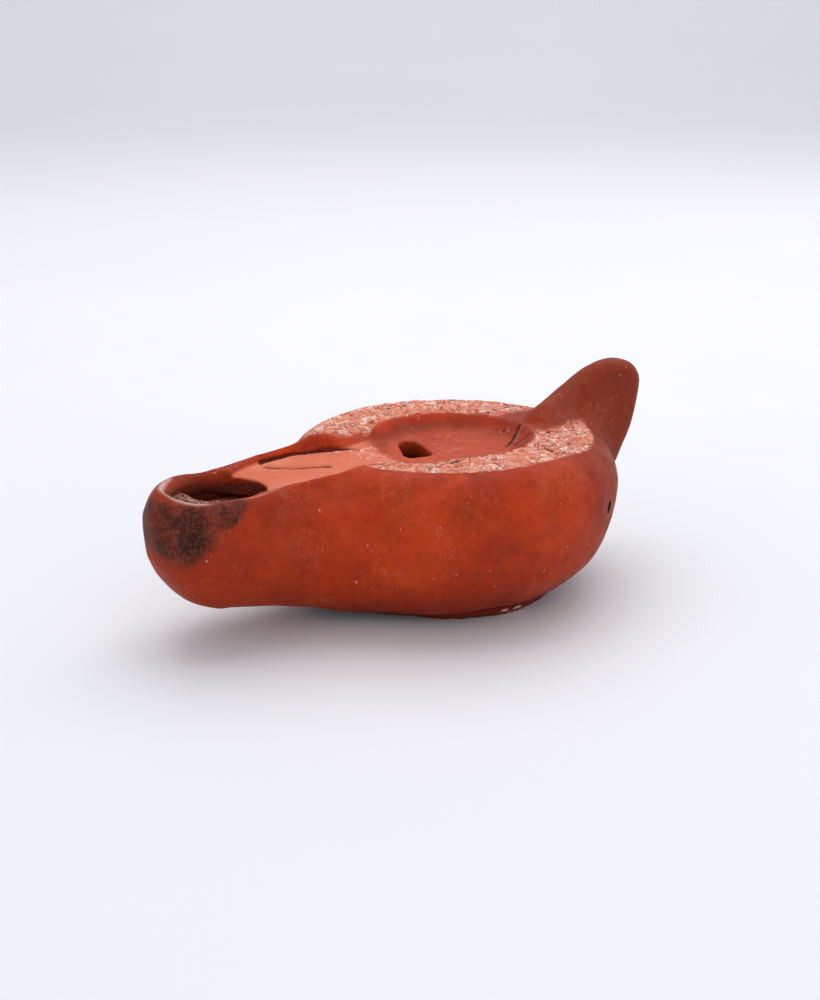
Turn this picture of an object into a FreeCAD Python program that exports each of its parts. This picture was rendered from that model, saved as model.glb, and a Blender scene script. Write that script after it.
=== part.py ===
"""A mould-made clay oil lamp: round reservoir, long nozzle, sunken discus, lug handle and ring foot.

The lamp stands on its foot. The origin is the centre of the foot on the surface, +Z is up, the handle is
towards +X and the nozzle towards -X. Units are millimetres.
"""

import FreeCAD
import Part
import Sketcher

import os

DRIVING_SIZES = {
    # ring foot
    "foot_radius": 21.8,
    "foot_bore_radius": 17.0,
    "foot_height": 1.8,
    "foot_curve": 2.4,
    # round reservoir, outside, from the bottom up
    "base_radius": 23.0,
    "hip_radius": 31.4,
    "hip_height": 9.6,
    "belly_radius": 35.0,
    "belly_height": 22.0,
    "cheek_radius": 33.8,
    "cheek_height": 29.4,
    "band_outer_radius": 30.6,
    "band_height": 32.6,
    "lower_curve": 17.5,
    "upper_curve": 40.0,
    "cheek_curve": 22.0,
    "edge_curve": 4.6,
    # sunken discus inside the decorated band
    "band_inner_radius": 17.5,
    "discus_floor_radius": 12.5,
    "discus_depth": 3.2,
    "discus_curve": 6.0,
    # walls, and the joint between the two moulded halves
    "wall": 3.6,
    "seam_height": 23.0,
    "slip_width": 3.6,
    "slip_thickness": 0.9,
    # nozzle: its round end, then three upright sections back to the reservoir
    "nozzle_top": 31.0,
    "nozzle_cheek": 24.5,
    "end_station": 54.8,
    "end_half_width": 12.6,
    "end_top_half_width": 9.8,
    "end_bottom": 6.6,
    "end_round": 11.6,
    "mid_station": 42.0,
    "mid_half_width": 12.9,
    "mid_top_half_width": 9.6,
    "mid_bottom": 5.6,
    "mid_round": 11.8,
    "throat_station": 30.0,
    "throat_half_width": 15.2,
    "throat_top_half_width": 11.6,
    "throat_bottom": 4.6,
    "throat_round": 13.0,
    "root_station": 17.0,
    "root_half_width": 19.0,
    "root_top_half_width": 15.0,
    "root_bottom": 3.4,
    "root_round": 15.0,
    # channel from the wick hole to the discus
    "channel_half_width": 6.4,
    "channel_depth": 1.5,
    "channel_end": 47.0,
    "channel_start": 11.0,
    # wick hole and filling hole
    "wick_hole_station": 52.6,
    "wick_hole_length": 17.6,
    "wick_hole_width": 15.6,
    "fill_hole_back": 5.6,
    "fill_hole_side": 3.8,
    "fill_hole_length": 11.6,
    "fill_hole_width": 6.8,
    # burnt crust in the front of the nozzle, up into the wick hole, and the clear bore behind it
    "crust_reach": 53.6,
    "crust_bottom": 14.0,
    "crust_top": 28.8,
    "crust_bore_station": 50.6,
    "crust_bore_length": 12.4,
    "crust_bore_width": 11.0,
}

# Upright handle, cut level by level from the lowest: height, front end, back end, half thickness.
HANDLE_LEVELS = [
    (13.0, 26.0, 35.4, 4.2),
    (20.0, 24.0, 41.8, 5.0),
    (27.0, 20.6, 45.0, 5.6),
    (31.0, 18.2, 46.8, 5.5),
    (34.6, 21.4, 48.0, 5.0),
    (38.0, 27.2, 48.8, 4.4),
    (40.8, 32.6, 48.2, 3.7),
    (42.6, 36.2, 47.0, 2.8),
    (43.4, 38.8, 45.0, 1.6),
]

# Clay smoothed round the handle's root, given the same way.
COIL_LEVELS = [
    (27.0, 17.5, 41.0, 10.0),
    (31.0, 17.8, 41.0, 9.6),
    (34.6, 19.6, 41.0, 7.0),
    (36.6, 22.9, 41.0, 5.4),
]

LEVEL_KEYS = ("height", "front", "back", "half")
NOZZLE_STATIONS = ("end", "mid", "throat", "root")
FAR_WEST = -100.0
FAR_EAST = 100.0
SLAB_WIDTH = 120.0
UNDER_FLOOR = -1.0
SKY = 60.0


class Size:
    """A number and the sheet expression that gives it, kept together through sums and products."""

    def __init__(self, value, text):
        self.value = value
        self.text = text

    def __add__(self, other):
        other = as_size(other)
        return Size(self.value + other.value, f"({self.text} + {other.text})")

    def __sub__(self, other):
        other = as_size(other)
        return Size(self.value - other.value, f"({self.text} - {other.text})")

    def __mul__(self, factor):
        return Size(self.value * factor, f"({self.text} * {factor})")

    def __neg__(self):
        return Size(-self.value, f"(-1 * {self.text})")


def as_size(number):
    """A plain number as a Size, and a Size as it is."""
    return number if isinstance(number, Size) else Size(float(number), str(float(number)))


def level_alias(group, key, number):
    return f"{group}_{key}_{'abcdefghi'[number]}"


def fill_sheet(sheet):
    """Put every driving size in a row of its own, as a label and an aliased cell, and return them as Sizes."""
    rows = dict(DRIVING_SIZES)
    for group, levels in (("handle", HANDLE_LEVELS), ("coil", COIL_LEVELS)):
        for number, level in enumerate(levels):
            for key, value in zip(LEVEL_KEYS, level):
                rows[level_alias(group, key, number)] = value
    for row, (alias, value) in enumerate(rows.items(), start=1):
        sheet.set(f"A{row}", alias)
        sheet.set(f"B{row}", str(value))
        sheet.setAlias(f"B{row}", alias)
    return {alias: Size(value, f"sizes.{alias}") for alias, value in rows.items()}


doc = FreeCAD.newDocument("oil_lamp")
SIZE = fill_sheet(doc.addObject("Spreadsheet::Sheet", "sizes"))
doc.recompute()


def bind(thing, **properties):
    """Bind properties to the sheet. A double underscore in a name stands for a dot."""
    for name, size in properties.items():
        thing.setExpression(name.replace("__", "."), as_size(size).text)


def pin_coordinate(sketch, kind, geometry, end, size):
    """Hold one coordinate of a point, measured from the sketch's origin."""
    if abs(size.value) < 1e-9:
        axis = -2 if kind == "DistanceX" else -1
        sketch.addConstraint(Sketcher.Constraint("PointOnObject", geometry, end, axis))
        return
    if size.value > 0:
        constraint = Sketcher.Constraint(kind, -1, 1, geometry, end, size.value)
    else:
        size = -size
        constraint = Sketcher.Constraint(kind, geometry, end, -1, 1, size.value)
    index = sketch.addConstraint(constraint)
    sketch.setExpression(f"Constraints[{index}]", size.text)


def arc_between(start, end, radius, bulge):
    """The short arc of a radius between two points, bulging to the right (+1) or the left (-1) of the way."""
    chord = end - start
    right = FreeCAD.Vector(chord.y, -chord.x, 0).normalize()
    rise = (radius**2 - (chord.Length / 2) ** 2) ** 0.5
    centre = (start + end) * 0.5 - right * (bulge * rise)
    circle = Part.Circle(centre, FreeCAD.Vector(0, 0, 1), radius)
    first, last = (end, start) if bulge < 0 else (start, end)
    return Part.ArcOfCircle(circle, circle.parameter(first), circle.parameter(last))


def draw_outline(sketch, corners, rounds):
    """Draw a closed outline of lines and arcs, each corner and radius bound to the sheet.

    corners holds (x, y) Sizes in order. rounds gives an edge's number its (radius, bulge).
    """
    corners = [(as_size(x), as_size(y)) for x, y in corners]
    points = [FreeCAD.Vector(x.value, y.value, 0) for x, y in corners]
    count = len(points)
    for number, start in enumerate(points):
        end = points[(number + 1) % count]
        if number in rounds:
            radius, bulge = rounds[number]
            sketch.addGeometry(arc_between(start, end, radius.value, bulge), False)
        else:
            sketch.addGeometry(Part.LineSegment(start, end), False)

    def ends_of(number):
        """(first, last) vertex numbers of an edge: an arc that bulges left is stored the other way round."""
        return (2, 1) if number in rounds and rounds[number][1] < 0 else (1, 2)

    for number in range(count):
        after = (number + 1) % count
        sketch.addConstraint(Sketcher.Constraint("Coincident", number, ends_of(number)[1], after, ends_of(after)[0]))
    for number, (x, y) in enumerate(corners):
        pin_coordinate(sketch, "DistanceX", number, ends_of(number)[0], x)
        pin_coordinate(sketch, "DistanceY", number, ends_of(number)[0], y)
    for number, (radius, _) in rounds.items():
        index = sketch.addConstraint(Sketcher.Constraint("Radius", number, radius.value))
        sketch.setExpression(f"Constraints[{index}]", radius.text)


def new_body(label):
    body = doc.addObject("PartDesign::Body", label)
    body.Label = label
    return body


def new_sketch(body, role, name):
    """A sketch on one of the body's own origin planes."""
    plane = next(feature for feature in body.Origin.OriginFeatures if feature.Role == role)
    sketch = body.newObject("Sketcher::SketchObject", name)
    sketch.AttachmentSupport = (plane, [""])
    sketch.MapMode = "FlatFace"
    return sketch


def revolve(body, sketch, name, angle=360):
    turned = body.newObject("PartDesign::Revolution", name)
    turned.Profile = sketch
    turned.ReferenceAxis = (sketch, ["V_Axis"])
    turned.Angle = angle
    return turned


def reservoir(label, inset, floor, roof_drop):
    """The round body as a solid of revolution, drawn a distance inside the outer surface.

    floor is the height of its underside. roof_drop is how far its top lies below the top face.
    """
    body = new_body(label)
    sketch = new_sketch(body, "XZ_Plane", f"{label}_profile")
    top = SIZE["band_height"] - roof_drop
    inner = as_size(inset)
    corners = [
        (0, floor),
        (SIZE["base_radius"] - inner * 0.4, floor),
        (SIZE["hip_radius"] - inner, SIZE["hip_height"] + inner * 0.3),
        (SIZE["belly_radius"] - inner, SIZE["belly_height"]),
        (SIZE["cheek_radius"] - inner, SIZE["cheek_height"] - roof_drop),
        (SIZE["band_outer_radius"] - inner, top),
        (SIZE["band_inner_radius"] + inner * 0.3, top),
        (SIZE["discus_floor_radius"] + inner * 0.3, top - SIZE["discus_depth"]),
        (0, top - SIZE["discus_depth"]),
    ]
    rounds = {
        1: (SIZE["lower_curve"], 1),
        2: (SIZE["upper_curve"], 1),
        3: (SIZE["cheek_curve"], 1),
        4: (SIZE["edge_curve"], 1),
        6: (SIZE["discus_curve"], -1),
    }
    draw_outline(sketch, corners, rounds)
    revolve(body, sketch, f"{label}_turn")
    return body


def nozzle_outline(station, inset):
    """Half widths and heights of one nozzle section, a distance inside the outer surface."""
    half = SIZE[f"{station}_half_width"] - inset
    top_half = SIZE[f"{station}_top_half_width"] - inset
    bottom = SIZE[f"{station}_bottom"] + inset
    flat = SIZE[f"{station}_half_width"] - SIZE[f"{station}_round"]
    spring = SIZE[f"{station}_bottom"] + SIZE[f"{station}_round"]
    radius = SIZE[f"{station}_round"] - inset
    return half, top_half, bottom, flat, spring, radius


def nozzle_bridge(label, inset):
    """The nozzle between its round end and the reservoir, lofted through four upright sections."""
    body = new_body(label)
    sketches = []
    for station in NOZZLE_STATIONS:
        sketch = new_sketch(body, "YZ_Plane", f"{label}_{station}")
        bind(sketch, AttachmentOffset__Base__z=-SIZE[f"{station}_station"])
        half, top_half, bottom, flat, spring, radius = nozzle_outline(station, inset)
        cheek = SIZE["nozzle_cheek"]
        top = SIZE["nozzle_top"] - inset
        corners = [
            (-flat, bottom),
            (flat, bottom),
            (half, spring),
            (half, cheek),
            (top_half, top),
            (-top_half, top),
            (-half, cheek),
            (-half, spring),
        ]
        draw_outline(sketch, corners, {1: (radius, 1), 7: (radius, 1)})
        sketches.append(sketch)
    doc.recompute()
    skin = body.newObject("PartDesign::AdditiveLoft", f"{label}_skin")
    skin.Profile = sketches[0]
    skin.Sections = sketches[1:]
    return body


def nozzle_end(label, inset):
    """The nozzle's round end: half a turn about an upright line, from one side to the other."""
    body = new_body(label)
    sketch = new_sketch(body, "YZ_Plane", f"{label}_profile")
    half, top_half, bottom, flat, spring, radius = nozzle_outline("end", inset)
    top = SIZE["nozzle_top"] - inset
    corners = [(0, bottom), (flat, bottom), (half, spring), (half, SIZE["nozzle_cheek"]), (top_half, top), (0, top)]
    draw_outline(sketch, corners, {1: (radius, 1)})
    revolve(body, sketch, f"{label}_turn", angle=180)
    bind(body, Placement__Base__x=-SIZE["end_station"])
    return body


def fuse(label, shapes):
    joined = doc.addObject("Part::MultiFuse", label)
    joined.Shapes = shapes
    joined.Refine = True
    return joined


def common(label, base, tool):
    shared = doc.addObject("Part::MultiCommon", label)
    shared.Shapes = [base, tool]
    return shared


def cut(label, base, tool):
    remainder = doc.addObject("Part::Cut", label)
    remainder.Base = base
    remainder.Tool = tool
    return remainder


def form(name, inset, floor, roof_drop):
    """Reservoir and nozzle as one solid, a distance inside the lamp's outer surface."""
    pieces = [
        reservoir(f"{name}_reservoir", inset, floor, roof_drop),
        nozzle_bridge(f"{name}_bridge", inset),
        nozzle_end(f"{name}_end", inset),
    ]
    return fuse(f"{name}_form", pieces)


def slab(label, low, high, west=FAR_WEST, east=FAR_EAST, width=SLAB_WIDTH):
    """A box across the lamp, from one height to another and from one place along it to another."""
    low, high, west, east, width = (as_size(size) for size in (low, high, west, east, width))
    box = doc.addObject("Part::Box", label)
    bind(box, Length=east - west, Width=width, Height=high - low)
    bind(box, Placement__Base__x=west, Placement__Base__y=width * -0.5, Placement__Base__z=low)
    return box


def oval(label, centre_x, centre_y, height, half_length, half_width, turn=0):
    """A level oval outline."""
    outline = doc.addObject("Part::Ellipse", label)
    bind(outline, MajorRadius=half_length, MinorRadius=half_width)
    outline.Placement.Rotation = FreeCAD.Rotation(FreeCAD.Vector(0, 0, 1), turn)
    bind(outline, Placement__Base__x=centre_x, Placement__Base__y=centre_y, Placement__Base__z=height)
    return outline


def oval_bar(label, outline, height=SKY):
    """An upright bar standing on an oval outline."""
    bar = doc.addObject("Part::Extrusion", label)
    bar.Base = outline
    bar.DirMode = "Custom"
    bar.Dir = FreeCAD.Vector(0, 0, 1)
    bar.Solid = True
    bind(bar, LengthFwd=height)
    return bar


def oval_stack(label, group, count):
    """A solid skinned over level ovals, whose sizes come from a group of rows in the sheet."""
    outlines = []
    for number in range(count):
        height, front, back, half = (SIZE[level_alias(group, key, number)] for key in LEVEL_KEYS)
        name = f"{label}_level_{number + 1}"
        outlines.append(oval(name, (front + back) * 0.5, 0, height, (back - front) * 0.5, half))
    skin = doc.addObject("Part::Loft", label)
    skin.Sections = outlines
    skin.Solid = True
    skin.Ruled = True
    return skin


def foot_ring():
    """The low ring that the lamp stands on."""
    body = new_body("foot_ring")
    sketch = new_sketch(body, "XZ_Plane", "foot_profile")
    corners = [
        (SIZE["foot_bore_radius"], 0),
        (SIZE["foot_radius"], 0),
        (SIZE["base_radius"], SIZE["foot_height"]),
        (SIZE["foot_bore_radius"], SIZE["foot_height"]),
    ]
    draw_outline(sketch, corners, {1: (SIZE["foot_curve"], 1)})
    revolve(body, sketch, "foot_turn")
    return body


def wick_hole_bar(label):
    """An upright bar as wide as the wick hole."""
    half_length = SIZE["wick_hole_length"] * 0.5
    half_width = SIZE["wick_hole_width"] * 0.5
    station = SIZE["wick_hole_station"]
    outline = oval(f"{label}_outline", -station, 0, SIZE["nozzle_cheek"], half_length, half_width)
    return oval_bar(f"{label}_bar", outline)


def burnt_crust(wall):
    """The crumbly lump in the front of the nozzle, with a clear bore for the wick behind it."""
    space = fuse("crust_space", [nozzle_end("crust_outside", wall), wick_hole_bar("crust_mouth")])
    reach = slab("crust_slab", SIZE["crust_bottom"], SIZE["crust_top"], FAR_WEST, -SIZE["crust_reach"])
    lump = common("crust_lump", space, reach)
    bore_outline = oval(
        "crust_bore_outline", -SIZE["crust_bore_station"], 0, 0,
        SIZE["crust_bore_length"] * 0.5, SIZE["crust_bore_width"] * 0.5,
    )
    return cut("wick_crust", lump, oval_bar("crust_bore", bore_outline))


def pierced_shell(outer, cavity):
    """The hollow lamp with its channel, wick hole and filling hole, before it is parted at the seam."""
    hollow = cut("hollow_lamp", outer, cavity)
    channel_floor = SIZE["nozzle_top"] - SIZE["channel_depth"]
    channel = slab(
        "channel_cutter", channel_floor, SKY, -SIZE["channel_end"], -SIZE["channel_start"],
        SIZE["channel_half_width"] * 2,
    )
    fill_outline = oval(
        "fill_hole_outline", -SIZE["fill_hole_back"], SIZE["fill_hole_side"], SIZE["nozzle_cheek"],
        SIZE["fill_hole_length"] * 0.5, SIZE["fill_hole_width"] * 0.5, turn=90,
    )
    wick_bar = wick_hole_bar("wick_hole")
    fill_bar = oval_bar("fill_hole_cutter", fill_outline)
    grooved = cut("grooved_lamp", hollow, channel)
    wicked = cut("lamp_with_wick_hole", grooved, wick_bar)
    return cut("pierced_lamp", wicked, fill_bar)


def build_lamp():
    """Make every sub-part and return them by node name."""
    outer = form("outer", 0, SIZE["foot_height"], 0)
    wall = SIZE["wall"]
    cavity = form("cavity", wall, SIZE["foot_height"] + wall, wall)
    slip_inset = wall + SIZE["slip_thickness"]
    slip_core = form("slip_core", slip_inset, SIZE["foot_height"] + slip_inset, slip_inset)
    shell = pierced_shell(outer, cavity)

    seam = SIZE["seam_height"]
    lower_bowl = common("lower_bowl", shell, slab("below_seam", UNDER_FLOOR, seam))
    upper_half = common("upper_half", shell, slab("above_seam", seam, SKY))

    handle_blank = oval_stack("handle_blank", "handle", len(HANDLE_LEVELS))
    coil_blank = oval_stack("coil_blank", "coil", len(COIL_LEVELS))
    handle_lug = cut("handle_lug", handle_blank, outer)
    coil_without_handle = cut("coil_without_handle", coil_blank, handle_blank)
    handle_coil = cut("handle_root_coil", coil_without_handle, outer)

    half_slip = SIZE["slip_width"] * 0.5
    slip_slab = slab("slip_slab", seam - half_slip, seam + half_slip, -SIZE["crust_reach"])
    slip_band = common("slip_band", cavity, slip_slab)
    seam_slip = cut("seam_slip", slip_band, slip_core)

    return {
        "foot_ring": foot_ring(),
        "lower_bowl": lower_bowl,
        "upper_half": upper_half,
        "handle_lug": handle_lug,
        "handle_root_coil": handle_coil,
        "seam_slip": seam_slip,
        "wick_crust": burnt_crust(wall),
    }


def check_document():
    """Stop if any object of the document failed to recompute."""
    failed = [thing.Name for thing in doc.Objects if {"Invalid", "Error"} & set(thing.State)]
    if failed:
        raise RuntimeError(f"objects that failed: {failed}")


def check_shape(node, shape):
    if shape.isNull() or not shape.isValid():
        raise RuntimeError(f"{node} has no valid shape")
    if not shape.Solids:
        raise RuntimeError(f"{node} has no solid")


def write_parts(nodes):
    os.makedirs("parts", exist_ok=True)
    for node, thing in nodes.items():
        box = thing.Shape.BoundBox
        print(
            f"{node}: {len(thing.Shape.Solids)} solid(s), {thing.Shape.Volume / 1000:.2f} cm3,"
            f" x {box.XMin:.1f}..{box.XMax:.1f}, y {box.YMin:.1f}..{box.YMax:.1f},"
            f" z {box.ZMin:.1f}..{box.ZMax:.1f}"
        )
        thing.Shape.exportStep(f"parts/{node}.step")


lamp = build_lamp()
doc.recompute()
check_document()
for node_name, node_object in lamp.items():
    node_object.Label = node_name
    check_shape(node_name, node_object.Shape)
write_parts(lamp)
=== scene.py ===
import math

import bmesh
import bpy
import numpy as np
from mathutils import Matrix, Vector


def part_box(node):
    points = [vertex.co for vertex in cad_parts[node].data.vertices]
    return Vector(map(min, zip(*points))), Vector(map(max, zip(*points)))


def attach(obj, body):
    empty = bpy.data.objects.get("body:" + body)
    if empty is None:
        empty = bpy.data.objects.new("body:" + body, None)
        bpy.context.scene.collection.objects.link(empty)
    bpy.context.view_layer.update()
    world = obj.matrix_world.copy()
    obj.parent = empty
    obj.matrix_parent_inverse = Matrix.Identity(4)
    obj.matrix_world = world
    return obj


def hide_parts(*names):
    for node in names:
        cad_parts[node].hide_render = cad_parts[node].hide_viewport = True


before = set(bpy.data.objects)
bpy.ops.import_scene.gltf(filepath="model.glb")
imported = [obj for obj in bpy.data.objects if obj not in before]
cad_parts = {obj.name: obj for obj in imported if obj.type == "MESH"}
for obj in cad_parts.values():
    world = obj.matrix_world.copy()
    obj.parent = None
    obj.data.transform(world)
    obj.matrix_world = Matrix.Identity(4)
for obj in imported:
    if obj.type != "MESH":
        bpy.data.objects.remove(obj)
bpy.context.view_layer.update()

import openvdb
from mathutils import Matrix, Vector

# The visual model of a mould-made clay oil lamp. Shapes are worked out in millimetres as signed distance
# fields, negative inside the clay, meshed, cut along the joints and placed in metres in the frame's axes.

MM = 0.001


def node_box(node):
    """Lowest and highest corner of a frame node, in millimetres."""
    low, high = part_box(node)
    return np.array(low) / MM, np.array(high) / MM


bowl_low, bowl_high = node_box("lower_bowl")
crust_low, crust_high = node_box("wick_crust")
slip_low, slip_high = node_box("seam_slip")
top_high = node_box("upper_half")[1]
lug_high = node_box("handle_lug")[1]
foot_high = node_box("foot_ring")[1]

FOOT_HEIGHT = foot_high[2]
FOOT_RADIUS = foot_high[0]
FOOT_BORE = FOOT_RADIUS - 6.0
SEAM_HEIGHT = bowl_high[2]
BELLY_RADIUS = bowl_high[0]
BAND_HEIGHT = top_high[2]
NOZZLE_TIP = bowl_low[0]
HANDLE_BACK = lug_high[0]
HANDLE_TOP = lug_high[2]

WALL = 3.6
BAND_INNER = 17.5
BAND_OUTER = 28.2
DISCUS_FLOOR = BAND_HEIGHT - 3.3
CHANNEL_FLOOR = DISCUS_FLOOR + 0.2

# The nozzle: half width and height of its round end, and the radii of its crest and of its rim, which carry a
# painted highlight.
NOZZLE_HALF = 12.7
NOZZLE_TOP = 31.0
NOZZLE_CREST = 9.2
NOZZLE_RIM = 8.6
# How long it runs to the body, what it gains in width, height and lean on the way, and where it stops inside.
NOZZLE_RUN = 37.8
NOZZLE_FLARE = 6.3
NOZZLE_RISE = 1.1
NOZZLE_LEAN = 2.6
NOZZLE_END = -16.0
# How far its top dips on either side of the wick hole.
NEAR_DIP = 1.1
FAR_DIP = 0.35

# Middle and half sizes of the wick hole and of the bore that the wick keeps open in the crust.
WICK_X = NOZZLE_TIP + NOZZLE_HALF
WICK_HOLE_X = WICK_X + 2.3
WICK_HOLE_Y = -0.5
WICK_HOLE_HALF = (9.1, 8.1)
WICK_HOLE_MEAN = 8.4
WICK_HOLE_FOOT = 24.0
CRUST_BORE_X = -50.4
CRUST_BORE_Y = 0.6
CRUST_BORE_HALF = (6.2, 5.6)
FILLING_HOLE_FOOT = 22.0

# Outside of the round body from the foot up: radius, height.
BODY_CURVE = [
    (FOOT_RADIUS, FOOT_HEIGHT),
    (27.0, 4.7),
    (31.4, 9.6),
    (34.0, 15.8),
    (BELLY_RADIUS, 21.6),
    (34.8, 24.8),
    (33.8, 27.9),
    (32.1, 30.2),
    (30.2, 31.7),
    (BAND_OUTER, BAND_HEIGHT),
]

# Side of the nozzle's round end from the underside up: distance from the wick hole's middle, height.
NOZZLE_CURVE = [
    (0.0, 7.1),
    (5.0, 7.5),
    (8.9, 9.2),
    (11.6, 12.2),
    (NOZZLE_HALF, 16.5),
    (NOZZLE_HALF, 21.5),
    (12.3, 25.6),
    (11.4, 28.3),
    (10.3, 30.0),
    (NOZZLE_CREST, NOZZLE_TOP),
]

# How many times further in the nozzle's front lies than its sides, against height: the rounded chin.
CHIN = [
    (7.1, 3.0),
    (8.1, 1.75),
    (9.7, 1.42),
    (12.0, 1.30),
    (14.8, 1.17),
    (18.0, 1.07),
    (21.5, 1.03),
    (26.0, 1.0),
]

# Feet of the channel's two sides, from the wick hole to the discus: place along the lamp, place across it.
CHANNEL_FAR = [
    (-50, 3.2),
    (-44.7, 7.8),
    (-38, 11.4),
    (-34, 12.5),
    (-29, 12.9),
    (-24, 12.3),
    (-18.5, 10.8),
    (-12, 12.5),
]
CHANNEL_NEAR = [
    (-50, -6.4),
    (-44, -7.2),
    (-38, -7.2),
    (-31, -7.6),
    (-24.8, -8.6),
    (-18.5, -9.8),
    (-12, -12.0),
]

# Outline of the filling hole from above: a poke, blunt on the far side, with a corner on the near side.
FILLING_HOLE = [
    (-9.0, 4.6),
    (-7.4, 8.4),
    (-5.0, 9.9),
    (-3.2, 8.6),
    (-3.4, 5.2),
    (-4.2, 1.6),
    (-5.0, -1.2),
    (-7.2, -2.0),
    (-9.6, -0.8),
    (-10.0, 1.6),
    (-9.0, 4.6),
]

# Handle seen from the side: from the discus up its front edge, over the top and down its back.
HANDLE_CURVE = [
    (17.2, 29.6),
    (21.7, 34.6),
    (25.9, 37.2),
    (29.9, 39.6),
    (33.6, 41.6),
    (37.4, 42.9),
    (41.4, HANDLE_TOP),
    (45.0, 42.8),
    (47.4, 41.4),
    (HANDLE_BACK - 0.2, 39.2),
    (HANDLE_BACK - 0.3, 36.8),
    (47.3, 33.2),
    (45.3, 28.4),
    (43.0, 24.0),
    (40.8, 19.6),
    (37.6, 15.4),
    (33.0, 12.6),
]
HANDLE_INSIDE = [(24.0, 16.0), (20.0, 26.0)]
HANDLE_FRONT_PLACES, HANDLE_FRONT_HEIGHTS = zip(*HANDLE_CURVE[:7])
HANDLE_HALF = 5.6
HANDLE_EDGE = 3.4

# Small marks: a stamped ring on the discus, where the scratches round the discus turn, a pit in the side.
STAMP_PLACE = (14.9, 1.6)
STAMP_RADIUS = 0.8
SCRATCH_CENTRE = (-5.0, -1.5)
PIT_PLACE = (19.2, -29.0, 21.1)
PIT_DEPTH = 0.9


# ---------------------------------------------------------------- number helpers

TINY = 1e-12


def smooth_min(a, b, radius):
    """The lesser of two fields, rounded where they meet."""
    blend = np.clip(0.5 + 0.5 * (b - a) / radius, 0.0, 1.0)
    return b + (a - b) * blend - radius * blend * (1.0 - blend)


def smooth_max(a, b, radius):
    """The greater of two fields, rounded where they meet."""
    return -smooth_min(-a, -b, radius)


def ramp(x, start, end):
    """0 before start, 1 after end, and a smooth rise between."""
    t = np.clip((x - start) / (end - start), 0.0, 1.0)
    return t * t * (3.0 - 2.0 * t)


def curve_through(points, steps=10):
    """A smooth line through points, as short straight runs."""
    points = np.array(points, float)
    padded = np.vstack([2 * points[0] - points[1], points, 2 * points[-1] - points[-2]])
    out = []
    for before, start, end, after in zip(padded, padded[1:], padded[2:], padded[3:]):
        square = 2 * before - 5 * start + 4 * end - after
        cube = 3 * start - before - 3 * end + after
        for t in np.arange(steps) / steps:
            out.append(0.5 * (2 * start + (end - before) * t + square * t**2 + cube * t**3))
    out.append(points[-1])
    return np.array(out)


def distance_to_line(u, v, line):
    """Least distance from each (u, v) to a line of straight runs."""
    best = np.full(u.shape, np.inf)
    for start, end in zip(line, line[1:]):
        run = end - start
        square = max(float(run @ run), TINY)
        t = np.clip(((u - start[0]) * run[0] + (v - start[1]) * run[1]) / square, 0.0, 1.0)
        best = np.minimum(best, np.hypot(u - start[0] - t * run[0], v - start[1] - t * run[1]))
    return best


def inside_outline(u, v, outline):
    """True where (u, v) is inside a closed outline."""
    inside = np.zeros(u.shape, bool)
    for start, end in zip(outline, np.roll(outline, -1, axis=0)):
        crosses = (start[1] > v) != (end[1] > v)
        rise = end[1] - start[1]
        reach = start[0] + (v - start[1]) * (end[0] - start[0]) / (rise if abs(rise) > TINY else TINY)
        inside ^= crosses & (u < reach)
    return inside


class FlatField:
    """Signed distance to an outline, kept on a fine grid and read by straight interpolation."""

    STEP = 0.15

    def __init__(self, line, closing, low, high):
        self.low = np.array(low, float)
        count = np.ceil((np.array(high, float) - self.low) / self.STEP).astype(int) + 2
        u, v = np.meshgrid(*(self.low[k] + np.arange(count[k]) * self.STEP for k in (0, 1)), indexing="ij")
        distance = distance_to_line(u, v, np.array(line))
        outline = np.vstack([line, closing])
        self.values = np.where(inside_outline(u, v, outline), -distance, distance).astype(np.float32)

    def __call__(self, u, v):
        size = self.values.shape
        a = np.clip((u - self.low[0]) / self.STEP, 0, size[0] - 1.001)
        b = np.clip((v - self.low[1]) / self.STEP, 0, size[1] - 1.001)
        i, j = a.astype(np.int32), b.astype(np.int32)
        a, b = a - i, b - j
        table = self.values
        low = table[i, j] * (1 - a) + table[i + 1, j] * a
        high = table[i, j + 1] * (1 - a) + table[i + 1, j + 1] * a
        return low * (1 - b) + high * b


def lattice(i, j, k, seed):
    """A repeatable random number from 0 to 1 for each whole-numbered place."""
    mixed = (i * 73856093) ^ (j * 19349663) ^ (k * 83492791) ^ (seed * 2654435761)
    mixed = (mixed ^ (mixed >> 13)) * 1274126177
    mixed = mixed ^ (mixed >> 16)
    return (mixed & 0xFFFFFF).astype(np.float64) / 0xFFFFFF


def noise(x, y, z, size, seed=0):
    """Smooth random field from -1 to 1, with lumps of a size in millimetres."""
    x, y, z = x / size, y / size, z / size
    i, j, k = (np.floor(c).astype(np.int64) for c in (x, y, z))
    u, v, w = (c - np.floor(c) for c in (x, y, z))
    u, v, w = (t * t * (3 - 2 * t) for t in (u, v, w))
    total = 0.0
    for a in (0, 1):
        for b in (0, 1):
            for c in (0, 1):
                weight = (u if a else 1 - u) * (v if b else 1 - v) * (w if c else 1 - w)
                total = total + weight * lattice(i + a, j + b, k + c, seed)
    return total * 2 - 1


# ---------------------------------------------------------------- fields of the lamp

body_line = np.vstack(
    [
        [(0.0, FOOT_HEIGHT)],
        curve_through(BODY_CURVE),
        curve_through(
            [
                (BAND_INNER + 1.2, BAND_HEIGHT),
                (BAND_INNER - 0.4, BAND_HEIGHT - 0.45),
                (BAND_INNER - 2.0, BAND_HEIGHT - 1.9),
                (BAND_INNER - 4.2, DISCUS_FLOOR + 0.35),
                (BAND_INNER - 7.5, DISCUS_FLOOR),
            ],
        ),
        [(0.0, DISCUS_FLOOR)],
    ]
)
body_profile = FlatField(body_line, [(-2, DISCUS_FLOOR), (-2, FOOT_HEIGHT)], (0, -1), (42, 40))

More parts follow.
